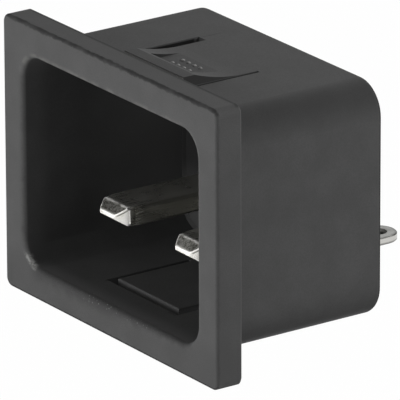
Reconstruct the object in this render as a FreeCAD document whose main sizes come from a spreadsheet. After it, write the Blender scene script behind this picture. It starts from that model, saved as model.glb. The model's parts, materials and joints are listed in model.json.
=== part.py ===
import FreeCAD, Part
import os
import Sketcher

# Two-pole panel inlet: a moulded housing that snaps into a panel, two flat contact pins and two solder lugs.
# The origin is the middle of the bezel's back face, which lies on the panel.  The mouth faces -Y, the shroud
# runs back along +Y through the cut-out, +X is to the right of someone facing the mouth and +Z is up.

# Driving dimensions in millimetres.
SIZES = {
    # Bezel: the flange that covers the edge of the panel cut-out
    "bezel_width": 36.7,
    "bezel_height": 28.6,
    "bezel_thickness": 3.0,
    "bezel_corner_radius": 0.9,
    "bezel_edge_round": 0.3,
    "bezel_back_bevel": 0.2,
    # Shroud: the box behind the bezel that passes through the panel
    "shroud_width": 32.4,
    "shroud_height": 24.3,
    "shroud_depth": 18.2,
    "shroud_corner_radius": 3.4,
    "shroud_rear_round": 0.6,
    "wall": 1.2,
    "back_wall": 1.8,
    # Cavity: the hollow that takes the connector
    "cavity_corner_radius": 2.6,
    "cavity_floor_bevel": 0.3,
    "mouth_round": 0.5,
    # Snap latch: a tongue freed by a U-shaped slot, with a nose that grips behind the panel
    "slot_width": 12.1,
    "slot_front": 0.95,
    "slot_gap": 0.97,
    "wide_slit": 1.2,
    "wide_slit_end": 12.0,
    "narrow_slit": 0.3,
    "narrow_slit_end": 10.7,
    "nose_height": 0.8,
    "nose_lead": 0.35,
    "nose_flat": 1.45,
    "nose_ramp": 5.2,
    "nose_draft": 0.65,
    "nose_bar": 0.4,
    "nose_rim": 1.9,
    "dish_floor": 0.06,
    "latch_edge_bevel": 0.1,
    # Contact pins: flat blades whose necks pass through the back wall
    "pin_pitch": 13.0,
    "pin_drop": 4.25,
    "pin_width": 5.0,
    "pin_thickness": 2.0,
    "pin_setback": 4.2,
    "pin_edge_chamfer": 0.3,
    "pin_tip_side": 1.3,
    "pin_side_run": 1.25,
    "pin_tip_flat": 0.8,
    "pin_flat_run": 1.2,
    "pin_edge_round": 0.1,
    "neck_width": 2.0,
    "neck_clearance": 0.05,
    "rivet_overhang": 0.45,
    "rivet_height": 0.5,
    "rivet_round": 0.3,
    # Solder lugs: sheet strips riveted on the necks and bent rearwards
    "lug_width": 3.6,
    "lug_thickness": 0.8,
    "lug_above": 2.2,
    "lug_drop": 3.35,
    "lug_reach": 8.45,
    "lug_bend_radius": 0.6,
    "lug_end_flat": 0.1,
    "lug_edge_bevel": 0.1,
    "wire_hole_diameter": 1.8,
    "wire_hole_setback": 1.9,
}

# Two places closer than this are the same place.
TOUCH = 0.001

doc = FreeCAD.newDocument("panel_inlet")


def make_sheet():
    """Writes the driving dimensions into a spreadsheet, one alias for each."""
    table = doc.addObject("Spreadsheet::Sheet", "Sizes")
    for row, (alias, size) in enumerate(SIZES.items(), 1):
        table.set(f"A{row}", alias)
        table.set(f"B{row}", str(size))
        table.setAlias(f"B{row}", alias)
    doc.recompute()
    return table


sheet = make_sheet()


def linked(text):
    """Turns the size names in an expression into links to the spreadsheet."""
    return " ".join(f"Sizes.{word}" if word in SIZES else word for word in text.split())


def number(text):
    """Works out an expression of size names from the spreadsheet."""
    return float(sheet.evalExpression(linked(text)))


def minus(text):
    """Turns an expression round to the other side of zero."""
    return f"-1 * ( {text} )"


def new_body(name):
    """Adds an empty body whose label names its file."""
    body = doc.addObject("PartDesign::Body", name)
    body.Label = name
    return body


def origin_feature(body, role):
    """Finds one of the body's own origin planes or axes."""
    return next(each for each in body.Origin.OriginFeatures if each.Role == role)


def new_sketch(body, name, role, offset="0"):
    """Adds a sketch on an origin plane, moved along the plane's normal by an offset."""
    sketch = body.newObject("Sketcher::SketchObject", name)
    sketch.AttachmentSupport = (origin_feature(body, role), [""])
    sketch.MapMode = "FlatFace"
    sketch.setExpression("AttachmentOffset.Base.z", linked(offset))
    return sketch


def tie(sketch, direction, geometry, end, place):
    """Ties one end of a sketch element to its place from the sketch's origin."""
    index = sketch.addConstraint(Sketcher.Constraint(direction, -1, 1, geometry, end, number(place)))
    sketch.setExpression(f"Constraints[{index}]", linked(place))


def draw_outline(sketch, corners):
    """Draws a closed outline of straight sides; each corner is a pair of expressions."""
    points = [FreeCAD.Vector(number(across), number(along), 0) for across, along in corners]
    first = sketch.GeometryCount
    for start, stop in zip(points, points[1:] + points[:1]):
        sketch.addGeometry(Part.LineSegment(start, stop))
    for index, (across, along) in enumerate(corners):
        following = first + (index + 1) % len(corners)
        sketch.addConstraint(Sketcher.Constraint("Coincident", first + index, 2, following, 1))
        tie(sketch, "DistanceX", first + index, 1, across)
        tie(sketch, "DistanceY", first + index, 1, along)


def draw_rectangle(sketch, width, height, across="0", along="0"):
    """Draws a rectangle about a middle point."""
    left = f"{across} - ( {width} ) / 2"
    right = f"{across} + ( {width} ) / 2"
    low = f"{along} - ( {height} ) / 2"
    high = f"{along} + ( {height} ) / 2"
    draw_outline(sketch, [(left, low), (right, low), (right, high), (left, high)])


def draw_circle(sketch, diameter, along):
    """Draws a circle whose middle is on the sketch's vertical axis."""
    centre = FreeCAD.Vector(0, number(along), 0)
    circle = sketch.addGeometry(Part.Circle(centre, FreeCAD.Vector(0, 0, 1), number(diameter) / 2))
    sketch.addConstraint(Sketcher.Constraint("PointOnObject", circle, 3, -2))
    tie(sketch, "DistanceY", circle, 3, along)
    index = sketch.addConstraint(Sketcher.Constraint("Diameter", circle, number(diameter)))
    sketch.setExpression(f"Constraints[{index}]", linked(diameter))


def pad(body, name, sketch, length, reverse=False, middle=False):
    """Pads a sketch by a length, along its normal, against it or evenly both ways."""
    feature = body.newObject("PartDesign::Pad", name)
    feature.Profile = sketch
    feature.setExpression("Length", linked(length))
    feature.Reversed = reverse
    feature.Midplane = middle
    doc.recompute()
    return feature


def pocket(body, name, sketch, depth, middle=False):
    """Cuts a sketch to a depth, against its normal or evenly both ways, and checks that it cuts."""
    before = body.Shape.Volume
    feature = body.newObject("PartDesign::Pocket", name)
    feature.Profile = sketch
    feature.setExpression("Length", linked(depth))
    feature.Midplane = middle
    doc.recompute()
    if body.Shape.Volume >= before:
        raise RuntimeError(f"{name} cuts nothing")
    return feature


def dress_edges(body, kind, name, test):
    """Adds a fillet or a chamfer on the body's edges whose bounding boxes pass a test."""
    base = body.Tip
    edges = [f"Edge{index}" for index, edge in enumerate(base.Shape.Edges, 1) if test(edge.BoundBox)]
    feature = body.newObject(kind, name)
    feature.Base = (base, edges)
    return feature


def round_edges(body, name, radius, test):
    """Rounds the edges that pass a test."""
    feature = dress_edges(body, "PartDesign::Fillet", name, test)
    feature.setExpression("Radius", linked(radius))
    doc.recompute()
    return feature


def bevel_edges(body, name, size, test):
    """Bevels the edges that pass a test."""
    feature = dress_edges(body, "PartDesign::Chamfer", name, test)
    feature.setExpression("Size", linked(size))
    doc.recompute()
    return feature


def near(one, other):
    """Says whether two places are the same."""
    return abs(one - other) < TOUCH


def at_corner(box, width, height):
    """Says whether an edge runs along Y at a corner of a rectangle about the middle."""
    straight = box.XLength < TOUCH and box.ZLength < TOUCH
    return straight and near(abs(box.Center.x), width / 2) and near(abs(box.Center.z), height / 2)


def in_plane(box, place):
    """Says whether an edge lies in the plane at this Y."""
    return near(box.YMin, place) and near(box.YMax, place)


def make_housing():
    """Moulds the bezel, the shroud, the cavity, the two latches and the slots for the pins' necks."""
    body = new_body("housing")
    add_bezel(body)
    add_shroud(body)
    add_cavity(body)
    add_latches(body)
    slots = new_sketch(body, "neck_slot_plan", "XZ_Plane", "back_wall - shroud_depth")
    for middle in ("pin_pitch / 2", "-1 * pin_pitch / 2"):
        draw_neck_slot(slots, middle, "-1 * pin_drop")
    pocket(body, "neck_slots", slots, "back_wall")
    return body


def add_bezel(body):
    """Adds the flange, with its corners and front edge rounded and its back edge bevelled."""
    outline = new_sketch(body, "bezel_outline", "XZ_Plane")
    draw_rectangle(outline, "bezel_width", "bezel_height")
    pad(body, "bezel", outline, "bezel_thickness")
    width, height = number("bezel_width"), number("bezel_height")
    front = number("-1 * bezel_thickness")
    round_edges(body, "bezel_corners", "bezel_corner_radius", lambda box: at_corner(box, width, height))
    round_edges(body, "bezel_front_edge", "bezel_edge_round", lambda box: in_plane(box, front))
    bevel_edges(body, "bezel_back_edge", "bezel_back_bevel", lambda box: in_plane(box, 0))


def add_shroud(body):
    """Adds the box behind the bezel, with its corners and rear edge rounded."""
    outline = new_sketch(body, "shroud_outline", "XZ_Plane")
    draw_rectangle(outline, "shroud_width", "shroud_height")
    pad(body, "shroud", outline, "shroud_depth", reverse=True)
    width, height = number("shroud_width"), number("shroud_height")
    rear = number("shroud_depth")
    round_edges(body, "shroud_corners", "shroud_corner_radius", lambda box: at_corner(box, width, height))
    round_edges(body, "shroud_rear_edge", "shroud_rear_round", lambda box: in_plane(box, rear))


def add_cavity(body):
    """Hollows the moulding from the front, down to the back wall, and eases its corners and mouth."""
    wide = "shroud_width - 2 * wall"
    tall = "shroud_height - 2 * wall"
    outline = new_sketch(body, "cavity_outline", "XZ_Plane", "bezel_thickness")
    draw_rectangle(outline, wide, tall)
    pocket(body, "cavity", outline, "bezel_thickness + shroud_depth - back_wall")
    width, height = number(wide), number(tall)
    front = number("-1 * bezel_thickness")
    floor = number("shroud_depth - back_wall")

    def on_mouth(box):
        """Says whether an edge of the front face belongs to the mouth and not to the rim of the bezel."""
        inside = box.XMax < width / 2 + TOUCH and box.ZMax < height / 2 + TOUCH
        return in_plane(box, front) and inside and -box.XMin < width / 2 + TOUCH

    round_edges(body, "cavity_corners", "cavity_corner_radius", lambda box: at_corner(box, width, height))
    bevel_edges(body, "cavity_floor_edge", "cavity_floor_bevel", lambda box: in_plane(box, floor))
    round_edges(body, "mouth_edge", "mouth_round", on_mouth)


def draw_neck_slot(sketch, across="0", along="0"):
    """Draws the slot that a pin's neck passes through, with its clearance."""
    width = "neck_width + 2 * neck_clearance"
    height = "pin_thickness + 2 * neck_clearance"
    draw_rectangle(sketch, width, height, across, along)


def add_latches(body):
    """Adds a snap latch to the top wall and the same latch, half a turn round, to the bottom wall."""
    tip = "slot_front + slot_gap"
    crest = f"{tip} + nose_lead"
    shelf = f"{crest} + nose_flat"
    toe = f"{shelf} + nose_ramp"
    surface = "shroud_height / 2"
    top = f"{surface} + nose_height"
    left = "wide_slit - slot_width / 2"
    right = "slot_width / 2 - narrow_slit"

    profile = new_sketch(body, "nose_profile", "YZ_Plane", left)
    draw_nose(profile, tip, crest, shelf, toe, surface, top)
    nose = pad(body, "nose", profile, "slot_width - wide_slit - narrow_slit")

    section = new_sketch(body, "nose_side_section", "XZ_Plane", minus(tip))
    above = f"{surface} + 2 * nose_height"
    draw_outline(section, [(right, surface), (right, above), (f"{right} - 2 * nose_draft", above)])
    side = pocket(body, "nose_side", section, f"{toe} - ( {tip} )")

    plan = new_sketch(body, "dish_plan", "XY_Plane", top)
    dish_left, dish_right = f"{left} + nose_rim", f"{right} - nose_rim"
    start = f"{shelf} + nose_bar"
    draw_outline(plan, [(dish_left, start), (dish_right, start), (dish_right, toe), (dish_left, toe)])
    dish = pocket(body, "dish", plan, "nose_height - dish_floor")

    plan = new_sketch(body, "latch_slot_plan", "XY_Plane", top)
    outer = "slot_width / 2"
    front = [(minus(outer), "slot_front"), (outer, "slot_front")]
    narrow = [(outer, "narrow_slit_end"), (right, "narrow_slit_end"), (right, tip)]
    wide = [(left, tip), (left, "wide_slit_end"), (minus(outer), "wide_slit_end")]
    draw_outline(plan, front + narrow + wide)
    slot = pocket(body, "latch_slot", plan, "nose_height + 2 * wall")

    turned = body.newObject("PartDesign::PolarPattern", "lower_latch")
    turned.Originals = [nose, side, dish, slot]
    turned.Axis = (origin_feature(body, "Y_Axis"), [""])
    turned.Angle = 360
    turned.Occurrences = 2
    body.Tip = turned
    doc.recompute()
    break_latch_edges(body, number(crest))


def draw_nose(sketch, tip, crest, shelf, toe, surface, top):
    """Draws the nose from the side: a steep gripping face, a flat top and a hollow ramp down to the wall."""
    root = f"{surface} - wall / 2"
    corners = [(shelf, top), (crest, top), (tip, surface), (tip, root), (toe, root), (toe, surface)]
    points = [FreeCAD.Vector(number(along), number(up), 0) for along, up in corners]
    for start, stop in zip(points, points[1:]):
        sketch.addGeometry(Part.LineSegment(start, stop))
    last = len(points) - 2
    for index in range(last):
        sketch.addConstraint(Sketcher.Constraint("Coincident", index, 2, index + 1, 1))
    for index, (along, up) in enumerate(corners[:-1]):
        tie(sketch, "DistanceX", index, 1, along)
        tie(sketch, "DistanceY", index, 1, up)
    tie(sketch, "DistanceX", last, 2, toe)
    tie(sketch, "DistanceY", last, 2, surface)

    # The ramp is an arc that meets the wall smoothly, so its centre is straight above its toe.
    rise, run = number("nose_height"), number("nose_ramp")
    radius = (run * run + rise * rise) / (2 * rise)
    centre = points[-1] + FreeCAD.Vector(0, radius, 0)
    towards_middle = (points[0] + points[-1]) * 0.5 - centre
    ramp = sketch.addGeometry(Part.Arc(points[0], centre + towards_middle.normalize() * radius, points[-1]))
    sketch.addConstraint(Sketcher.Constraint("Coincident", ramp, 1, 0, 1))
    sketch.addConstraint(Sketcher.Constraint("Coincident", ramp, 2, last, 2))
    sketch.addConstraint(Sketcher.Constraint("Vertical", ramp, 3, last, 2))


def break_latch_edges(body, crest):
    """Bevels the rims of both slots, the inner rims of the tongues and the front edges of the noses."""
    half_width = number("slot_width / 2")
    slot_start = number("slot_front")
    slit_ends = [number("wide_slit_end"), number("narrow_slit_end")]
    outside = number("shroud_height / 2")
    inside = number("shroud_height / 2 - wall")
    top = number("shroud_height / 2 + nose_height")

    def stands_free(box):
        """Says whether an edge juts out on a slot, a tongue or a nose, so that the mould breaks it."""
        across = max(-box.XMin, box.XMax) < half_width + TOUCH
        along = box.YMin > slot_start - TOUCH and box.YMax < max(slit_ends) + TOUCH
        if box.ZLength > TOUCH or not across or not along or any(in_plane(box, end) for end in slit_ends):
            return False
        level = abs(box.Center.z)
        on_slot = near(abs(box.Center.x), half_width) or in_plane(box, slot_start)
        on_nose = near(level, top) and in_plane(box, crest)
        return near(level, inside) or on_nose or (near(level, outside) and on_slot)

    bevel_edges(body, "latch_edges", "latch_edge_bevel", stands_free)


def draw_blade(sketch):
    """Draws the blade's section: a rectangle with its long edges chamfered."""
    half_width = "pin_width / 2"
    half_height = "pin_thickness / 2"
    side_corner = (half_width, f"{half_height} - pin_edge_chamfer")
    flat_corner = (f"{half_width} - pin_edge_chamfer", half_height)
    quarter = [side_corner, flat_corner]
    upper = quarter + [(minus(across), up) for across, up in reversed(quarter)]
    lower = [(across, minus(up)) for across, up in reversed(upper)]
    draw_outline(sketch, upper + lower)


def make_pin(name, side):
    """Makes a contact pin: tapered tip, blade, neck through the back wall and the lug, and rivet head."""
    body = new_body(name)
    tip = "pin_setback - bezel_thickness"
    shoulder = "shroud_depth - back_wall"
    section = new_sketch(body, "blade_section", "XZ_Plane", minus(tip))
    draw_blade(section)
    pad(body, "blade", section, f"{shoulder} - ( {tip} )", reverse=True)
    taper_tip(body, tip)
    root = number(shoulder)
    round_edges(body, "blade_edges", "pin_edge_round", lambda box: not in_plane(box, root))

    neck = new_sketch(body, "neck_section", "XZ_Plane", minus(shoulder))
    draw_rectangle(neck, "neck_width", "pin_thickness")
    pad(body, "neck", neck, "back_wall + lug_thickness", reverse=True)
    seat = "shroud_depth + lug_thickness"
    head = new_sketch(body, "rivet_section", "XZ_Plane", minus(seat))
    draw_rectangle(head, "neck_width + 2 * rivet_overhang", "pin_thickness + 2 * rivet_overhang")
    pad(body, "rivet", head, "rivet_height", reverse=True)
    crown = number(f"{seat} + rivet_height")
    round_edges(body, "rivet_edge", "rivet_round", lambda box: in_plane(box, crown))
    place_pole(body, side)
    return body


def taper_tip(body, tip):
    """Cuts the blade's end to a four-sided taper, steep on the flats and longer at the sides."""
    plan = new_sketch(body, "tip_plan", "XY_Plane")
    edge = "pin_width / 2"
    wedge = [(f"{edge} - pin_tip_side", tip), (edge, tip), (edge, f"{tip} + pin_side_run")]
    draw_outline(plan, wedge)
    draw_outline(plan, [(minus(across), along) for across, along in wedge])
    pocket(body, "tip_sides", plan, "2 * pin_thickness", middle=True)

    profile = new_sketch(body, "tip_profile", "YZ_Plane")
    face = "pin_thickness / 2"
    wedge = [(tip, f"{face} - pin_tip_flat"), (f"{tip} + pin_flat_run", face), (tip, face)]
    draw_outline(profile, wedge)
    draw_outline(profile, [(along, minus(up)) for along, up in wedge])
    pocket(body, "tip_flats", profile, "2 * pin_width", middle=True)


def make_lug(name, side):
    """Folds a solder lug: a leg against the back wall, a bend, and a tab with a round end and a wire hole."""
    body = new_body(name)
    seat = "shroud_depth"
    back = "shroud_depth + lug_thickness"
    end = "shroud_depth + lug_reach"
    under = "-1 * lug_drop - lug_thickness / 2"
    over = "-1 * lug_drop + lug_thickness / 2"
    strip = new_sketch(body, "strip_profile", "YZ_Plane")
    leg = [(back, "lug_above"), (seat, "lug_above"), (seat, under)]
    tab = [(end, under), (end, over), (back, over)]
    draw_outline(strip, leg + tab)
    pad(body, "strip", strip, "lug_width", middle=True)

    def at_bend(box, along, up):
        """Says whether an edge runs across the strip at this place of its profile."""
        straight = box.YLength < TOUCH and box.ZLength < TOUCH
        return straight and near(box.Center.y, number(along)) and near(box.Center.z, number(up))

    round_edges(body, "bend_inside", "lug_bend_radius", lambda box: at_bend(box, back, over))
    outer_radius = "lug_bend_radius + lug_thickness"
    round_edges(body, "bend_outside", outer_radius, lambda box: at_bend(box, seat, under))
    tab_end = number(end)
    end_radius = "( lug_width - lug_end_flat ) / 2"
    round_edges(body, "tab_end", end_radius, lambda box: in_plane(box, tab_end) and box.XLength < TOUCH)
    rim, sheet_thickness = number("lug_width / 2"), number("lug_thickness")

    def on_rim(box):
        """Says whether an edge runs along the strip's side and not through its thickness."""
        through = min(box.YLength, box.ZLength) < TOUCH
        through = through and near(max(box.YLength, box.ZLength), sheet_thickness)
        return box.XLength < TOUCH and near(abs(box.Center.x), rim) and not through

    bevel_edges(body, "stamped_edges", "lug_edge_bevel", on_rim)

    hole = new_sketch(body, "wire_hole_plan", "XY_Plane", over)
    draw_circle(hole, "wire_hole_diameter", f"{end} - wire_hole_setback")
    pocket(body, "wire_hole", hole, "lug_thickness")
    slot = new_sketch(body, "neck_hole_plan", "XZ_Plane", minus(seat))
    draw_neck_slot(slot)
    pocket(body, "neck_hole", slot, "lug_thickness")
    place_pole(body, side)
    return body


def place_pole(body, side):
    """Moves a pin or lug to its pole, left or right of the middle."""
    body.setExpression("Placement.Base.x", linked(f"{side} * pin_pitch / 2"))
    body.setExpression("Placement.Base.z", linked("-1 * pin_drop"))
    doc.recompute()


def check(bodies):
    """Stops if any feature failed or any sub-part is not one valid solid."""
    for each in doc.Objects:
        if "Invalid" in each.State or "Error" in each.State:
            raise RuntimeError(f"{each.Label} failed: {each.State}")
    for body in bodies:
        if body.Shape.isNull() or not body.Shape.isValid() or len(body.Shape.Solids) != 1:
            raise RuntimeError(f"{body.Label} is not one valid solid")


sub_parts = [make_housing()]
for pole, pole_side in (("left", "-1"), ("right", "1")):
    sub_parts.append(make_pin(f"{pole}_pin", pole_side))
    sub_parts.append(make_lug(f"{pole}_solder_lug", pole_side))
check(sub_parts)

os.makedirs("parts", exist_ok=True)
for sub_part in sub_parts:
    sub_part.Shape.exportStep(f"parts/{sub_part.Label}.step")
    print(f"{sub_part.Label}: {sub_part.Shape.Volume:.1f} mm3")
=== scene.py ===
"""Looks of a two-pole panel inlet: moulded housing, plated pins and solder lugs, in a white studio."""

from __future__ import annotations

import json
import logging
import math
from dataclasses import dataclass, field
from enum import Enum
from typing import Any, Mapping, NamedTuple, Optional, Sequence, Union

import bmesh
import bpy
from mathutils import Matrix, Vector

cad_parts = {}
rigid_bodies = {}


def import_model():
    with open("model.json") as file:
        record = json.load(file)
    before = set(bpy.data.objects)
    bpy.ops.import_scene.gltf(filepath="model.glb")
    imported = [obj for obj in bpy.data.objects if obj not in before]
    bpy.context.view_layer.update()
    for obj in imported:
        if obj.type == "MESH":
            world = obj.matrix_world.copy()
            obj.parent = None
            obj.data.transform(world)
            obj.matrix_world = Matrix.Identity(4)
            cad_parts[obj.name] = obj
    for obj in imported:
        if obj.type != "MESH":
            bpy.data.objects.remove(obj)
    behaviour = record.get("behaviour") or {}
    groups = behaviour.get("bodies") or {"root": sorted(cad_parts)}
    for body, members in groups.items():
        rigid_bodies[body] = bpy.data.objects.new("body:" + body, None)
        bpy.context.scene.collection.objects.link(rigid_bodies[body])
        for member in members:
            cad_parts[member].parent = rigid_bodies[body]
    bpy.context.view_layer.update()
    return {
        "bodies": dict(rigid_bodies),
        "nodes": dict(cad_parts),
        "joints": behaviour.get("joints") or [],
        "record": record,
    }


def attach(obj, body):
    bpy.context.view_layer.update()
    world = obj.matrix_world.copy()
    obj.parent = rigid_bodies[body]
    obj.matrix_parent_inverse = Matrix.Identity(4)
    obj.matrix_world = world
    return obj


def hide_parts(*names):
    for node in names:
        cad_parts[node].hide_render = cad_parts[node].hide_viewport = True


LOG = logging.getLogger("panel_inlet")

# Lengths are in metres, as in the frame; a finish works in millimetres on its own coordinates.
MM = 0.001
MM_PER_METRE = 1000.0
NOISE_MEAN = 0.5
RECORD_BODY = "root"

Triple = tuple[float, float, float]
Colour = tuple[float, float, float]
Term = Union["Wire", float]
# The two ends of an opening, the lower one first.
Ends = tuple[float, float]
# A span is the value at which a ramp gives 0 and the one at which it gives 1.
Span = tuple[float, float]
# A band is the span over which a mark begins and the one over which it ends.
Band = tuple[Span, Span]

WHITE: Colour = (1.0, 1.0, 1.0)


class Pole(Enum):
    """The two sides on which the inlet carries a pin and its lug."""

    LEFT = "left"
    RIGHT = "right"

    @property
    def side(self) -> float:
        """-1 on the left and 1 on the right."""
        return -1.0 if self is Pole.LEFT else 1.0

    @property
    def pin_node(self) -> str:
        """Name of this side's contact pin in the frame."""
        return f"{self.value}_pin"

    @property
    def lug_node(self) -> str:
        """Name of this side's solder lug in the frame."""
        return f"{self.value}_solder_lug"


class Wire:
    """A node's output, on which maths is written as plain expressions."""

    def __init__(self, bench: "Bench", socket: bpy.types.NodeSocket) -> None:
        """Holds an output socket and the bench it belongs to."""
        self.bench = bench
        self.socket = socket

    def _math(self, operation: str, first: Term, second: Term) -> "Wire":
        """Adds a Math node.

        Args:
            operation: The Math node's operation.
            first: The left-hand term.
            second: The right-hand term.

        Returns:
            The node's value.
        """
        return self.bench.add("ShaderNodeMath", {"operation": operation}, {0: first, 1: second})

    def __add__(self, other: Term) -> "Wire":
        """self + other."""
        return self._math("ADD", self, other)

    def __radd__(self, other: Term) -> "Wire":
        """other + self."""
        return self._math("ADD", other, self)

    def __sub__(self, other: Term) -> "Wire":
        """self - other."""
        return self._math("SUBTRACT", self, other)

    def __rsub__(self, other: Term) -> "Wire":
        """other - self."""
        return self._math("SUBTRACT", other, self)

    def __mul__(self, other: Term) -> "Wire":
        """self * other."""
        return self._math("MULTIPLY", self, other)

    def __rmul__(self, other: Term) -> "Wire":
        """other * self."""
        return self._math("MULTIPLY", other, self)

    def __truediv__(self, other: Term) -> "Wire":
        """self / other."""
        return self._math("DIVIDE", self, other)

    def __rtruediv__(self, other: Term) -> "Wire":
        """other / self."""
        return self._math("DIVIDE", other, self)

    def __abs__(self) -> "Wire":
        """The value without its sign."""
        return self._math("ABSOLUTE", self, 0.0)

    def sign(self) -> "Wire":
        """-1 below zero and 1 above it."""
        return self._math("SIGN", self, 0.0)

    def root(self) -> "Wire":
        """The square root."""
        return self._math("SQRT", self, 0.0)

    def least(self, other: Term) -> "Wire":
        """The smaller of the two values."""
        return self._math("MINIMUM", self, other)

    def most(self, other: Term) -> "Wire":
        """The larger of the two values."""
        return self._math("MAXIMUM", self, other)

    def lifted(self, share: float) -> "Wire":
        """Raises 0 to a share and leaves 1 as it is."""
        return share + (1.0 - share) * self

    def ramp(self, span: Span) -> "Wire":
        """Goes smoothly from 0 to 1.

        Args:
            span: The values that give 0 and 1; where the second is lower, the ramp falls.

        Returns:
            The smoothed value, held between 0 and 1.
        """
        low, high = span
        if low > high:
            return 1.0 - self.ramp((high, low))
        settings = {"interpolation_type": "SMOOTHSTEP", "clamp": True}
        sockets = {"Value": self, "From Min": low, "From Max": high}
        return self.bench.add("ShaderNodeMapRange", settings, sockets)

    def within(self, band: Band) -> "Wire":
        """1 between the two spans of a band, and 0 outside them."""
        return self.ramp(band[0]) * self.ramp(band[1])


class Bench:
    """A node tree being wired up, for a material, a world or a piece of geometry."""

    def __init__(self, tree: bpy.types.NodeTree) -> None:
        """Starts on an empty tree."""
        self.tree = tree
        tree.nodes.clear()

    def add(
        self,
        kind: str,
        settings: Optional[Mapping[str, Any]] = None,
        inputs: Optional[Mapping[Union[str, int], Any]] = None,
        output: Union[str, int] = 0,
    ) -> Wire:
        """Adds a node.

        Args:
            kind: The node's type.
            settings: Properties that are set before any socket.
            inputs: Values or wires, by the socket's name or number.
            output: The output that is handed on, by name or number.

        Returns:
            The wire from that output.
        """
        node = self.tree.nodes.new(kind)
        for name, value in (settings or {}).items():
            setattr(node, name, value)
        for name, value in (inputs or {}).items():
            if isinstance(value, Wire):
                self.tree.links.new(value.socket, node.inputs[name])
            else:
                node.inputs[name].default_value = value
        return Wire(self, node.outputs[output] if len(node.outputs) else None)

    def tint(self, amount: Term, under: Any, over: Any) -> Wire:
        """Lays one colour over another.

        Args:
            amount: How strongly, from 0 to 1.
            under: The colour below, or its wire.
            over: The colour laid on top, or its wire.

        Returns:
            The mixed colour.
        """
        settings = {"data_type": "RGBA", "blend_type": "MIX"}
        return self.add("ShaderNodeMix", settings, {0: amount, 6: opaque(under), 7: opaque(over)}, 2)

    def split(self, vector: Wire) -> tuple[Wire, Wire, Wire]:
        """Takes a vector apart.

        Args:
            vector: The vector's wire.

        Returns:
            Its x, y and z.
        """
        x = self.add("ShaderNodeSeparateXYZ", None, {0: vector}, "X")
        outputs = x.socket.node.outputs
        return x, Wire(self, outputs["Y"]), Wire(self, outputs["Z"])

    def bump(self, height: Wire, depth: float, strength: float) -> Wire:
        """Turns a height into a surface normal.

        Args:
            height: The height's wire.
            depth: What a height of 1 stands for, in millimetres.
            strength: How strongly it shows.

        Returns:
            The normal.
        """
        sockets = {"Height": height, "Distance": depth * MM, "Strength": strength}
        return self.add("ShaderNodeBump", None, sockets)

    def surface(self, sockets: Mapping[Union[str, int], Any]) -> None:
        """Ends a material in one Principled surface with these sockets."""
        shader = self.add("ShaderNodeBsdfPrincipled", None, sockets)
        self.add("ShaderNodeOutputMaterial", None, {"Surface": shader})


class Spot:
    """A point of a piece while its finish is worked out; its place is in millimetres of the frame."""

    def __init__(self, bench: Bench) -> None:
        """Adds the nodes that read the point's place.

        Args:
            bench: The material's bench.
        """
        self.bench = bench
        place = bench.add("ShaderNodeTexCoord", output="Object")
        scaled = {0: place, "Scale": MM_PER_METRE}
        self.place = bench.add("ShaderNodeVectorMath", {"operation": "SCALE"}, scaled)
        self.x, self.y, self.z = bench.split(self.place)

    def facing(self) -> tuple[Wire, Wire, Wire]:
        """How far the surface faces right, rearwards and up."""
        return self.bench.split(self.bench.add("ShaderNodeNewGeometry", output="Normal"))


@dataclass(frozen=True)
class Noise:
    """Soft random variation, about NOISE_MEAN on average.

    Attributes:
        size: The size of its blotches in millimetres.
        detail: How many finer layers it has.
        stretch: How much longer the blotches are along each axis.
    """

    size: float
    detail: float = 2.0
    stretch: Triple = (1.0, 1.0, 1.0)

    def at(self, spot: Spot) -> Wire:
        """Adds the noise.

        Args:
            spot: The point of the piece.

        Returns:
            The noise's value there.
        """
        squeeze = tuple(1.0 / (self.size * along) for along in self.stretch)
        scaled = {0: spot.place, 1: squeeze}
        moved = spot.bench.add("ShaderNodeVectorMath", {"operation": "MULTIPLY"}, scaled)
        sockets = {"Vector": moved, "Scale": 1.0, "Detail": self.detail}
        return spot.bench.add("ShaderNodeTexNoise", None, sockets)


@dataclass(frozen=True)
class Specks:
    """Small round spots, scattered.

    Attributes:
        spacing: The mean distance between possible spots in millimetres.
        radius: A spot's radius in millimetres.
        share: The share of possible spots that are there.
        core: The share of its radius in which a spot is full.
        sure: The share of those that show fully; the rest are fainter.
    """

    spacing: float
    radius: float
    share: float
    core: float = 0.4
    sure: float = 0.8

    def at(self, spot: Spot) -> Wire:
        """Adds the spots.

        Args:
            spot: The point of the piece.

        Returns:
            1 in a spot and 0 away from it.
        """
        sockets = {"Vector": spot.place, "Scale": 1.0 / self.spacing}
        gap = spot.bench.add("ShaderNodeTexVoronoi", None, sockets, "Distance")
        lot = spot.bench.split(Wire(spot.bench, gap.socket.node.outputs["Color"]))[0]
        reach = self.radius / self.spacing
        there = lot.ramp((1.0 - self.share, 1.0 - self.sure * self.share))
        return gap.ramp((reach, self.core * reach)) * there


@dataclass(frozen=True)
class Shade:
    """How a mark changes a plain colour.

    Attributes:
        amount: How strongly it lies on the colour, from 0 to 1.
        times: How many times as light as the plain colour it is.
    """

    amount: float
    times: float

    def of(self, colour: Colour) -> Colour:
        """The plain colour, lighter or darker."""
        return tuple(self.times * part for part in colour)


def opaque(colour: Any) -> Any:
    """Gives a plain colour its alpha, and leaves a wire as it is."""
    return colour if isinstance(colour, Wire) else (*colour, 1.0)


def new_material(name: str) -> tuple[bpy.types.Material, Bench]:
    """Makes an empty node material.

    Args:
        name: The material's name.

    Returns:
        The material and the bench of its tree.
    """
    material = bpy.data.materials.new(name)
    material.use_nodes = True
    return material, Bench(material.node_tree)


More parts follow.
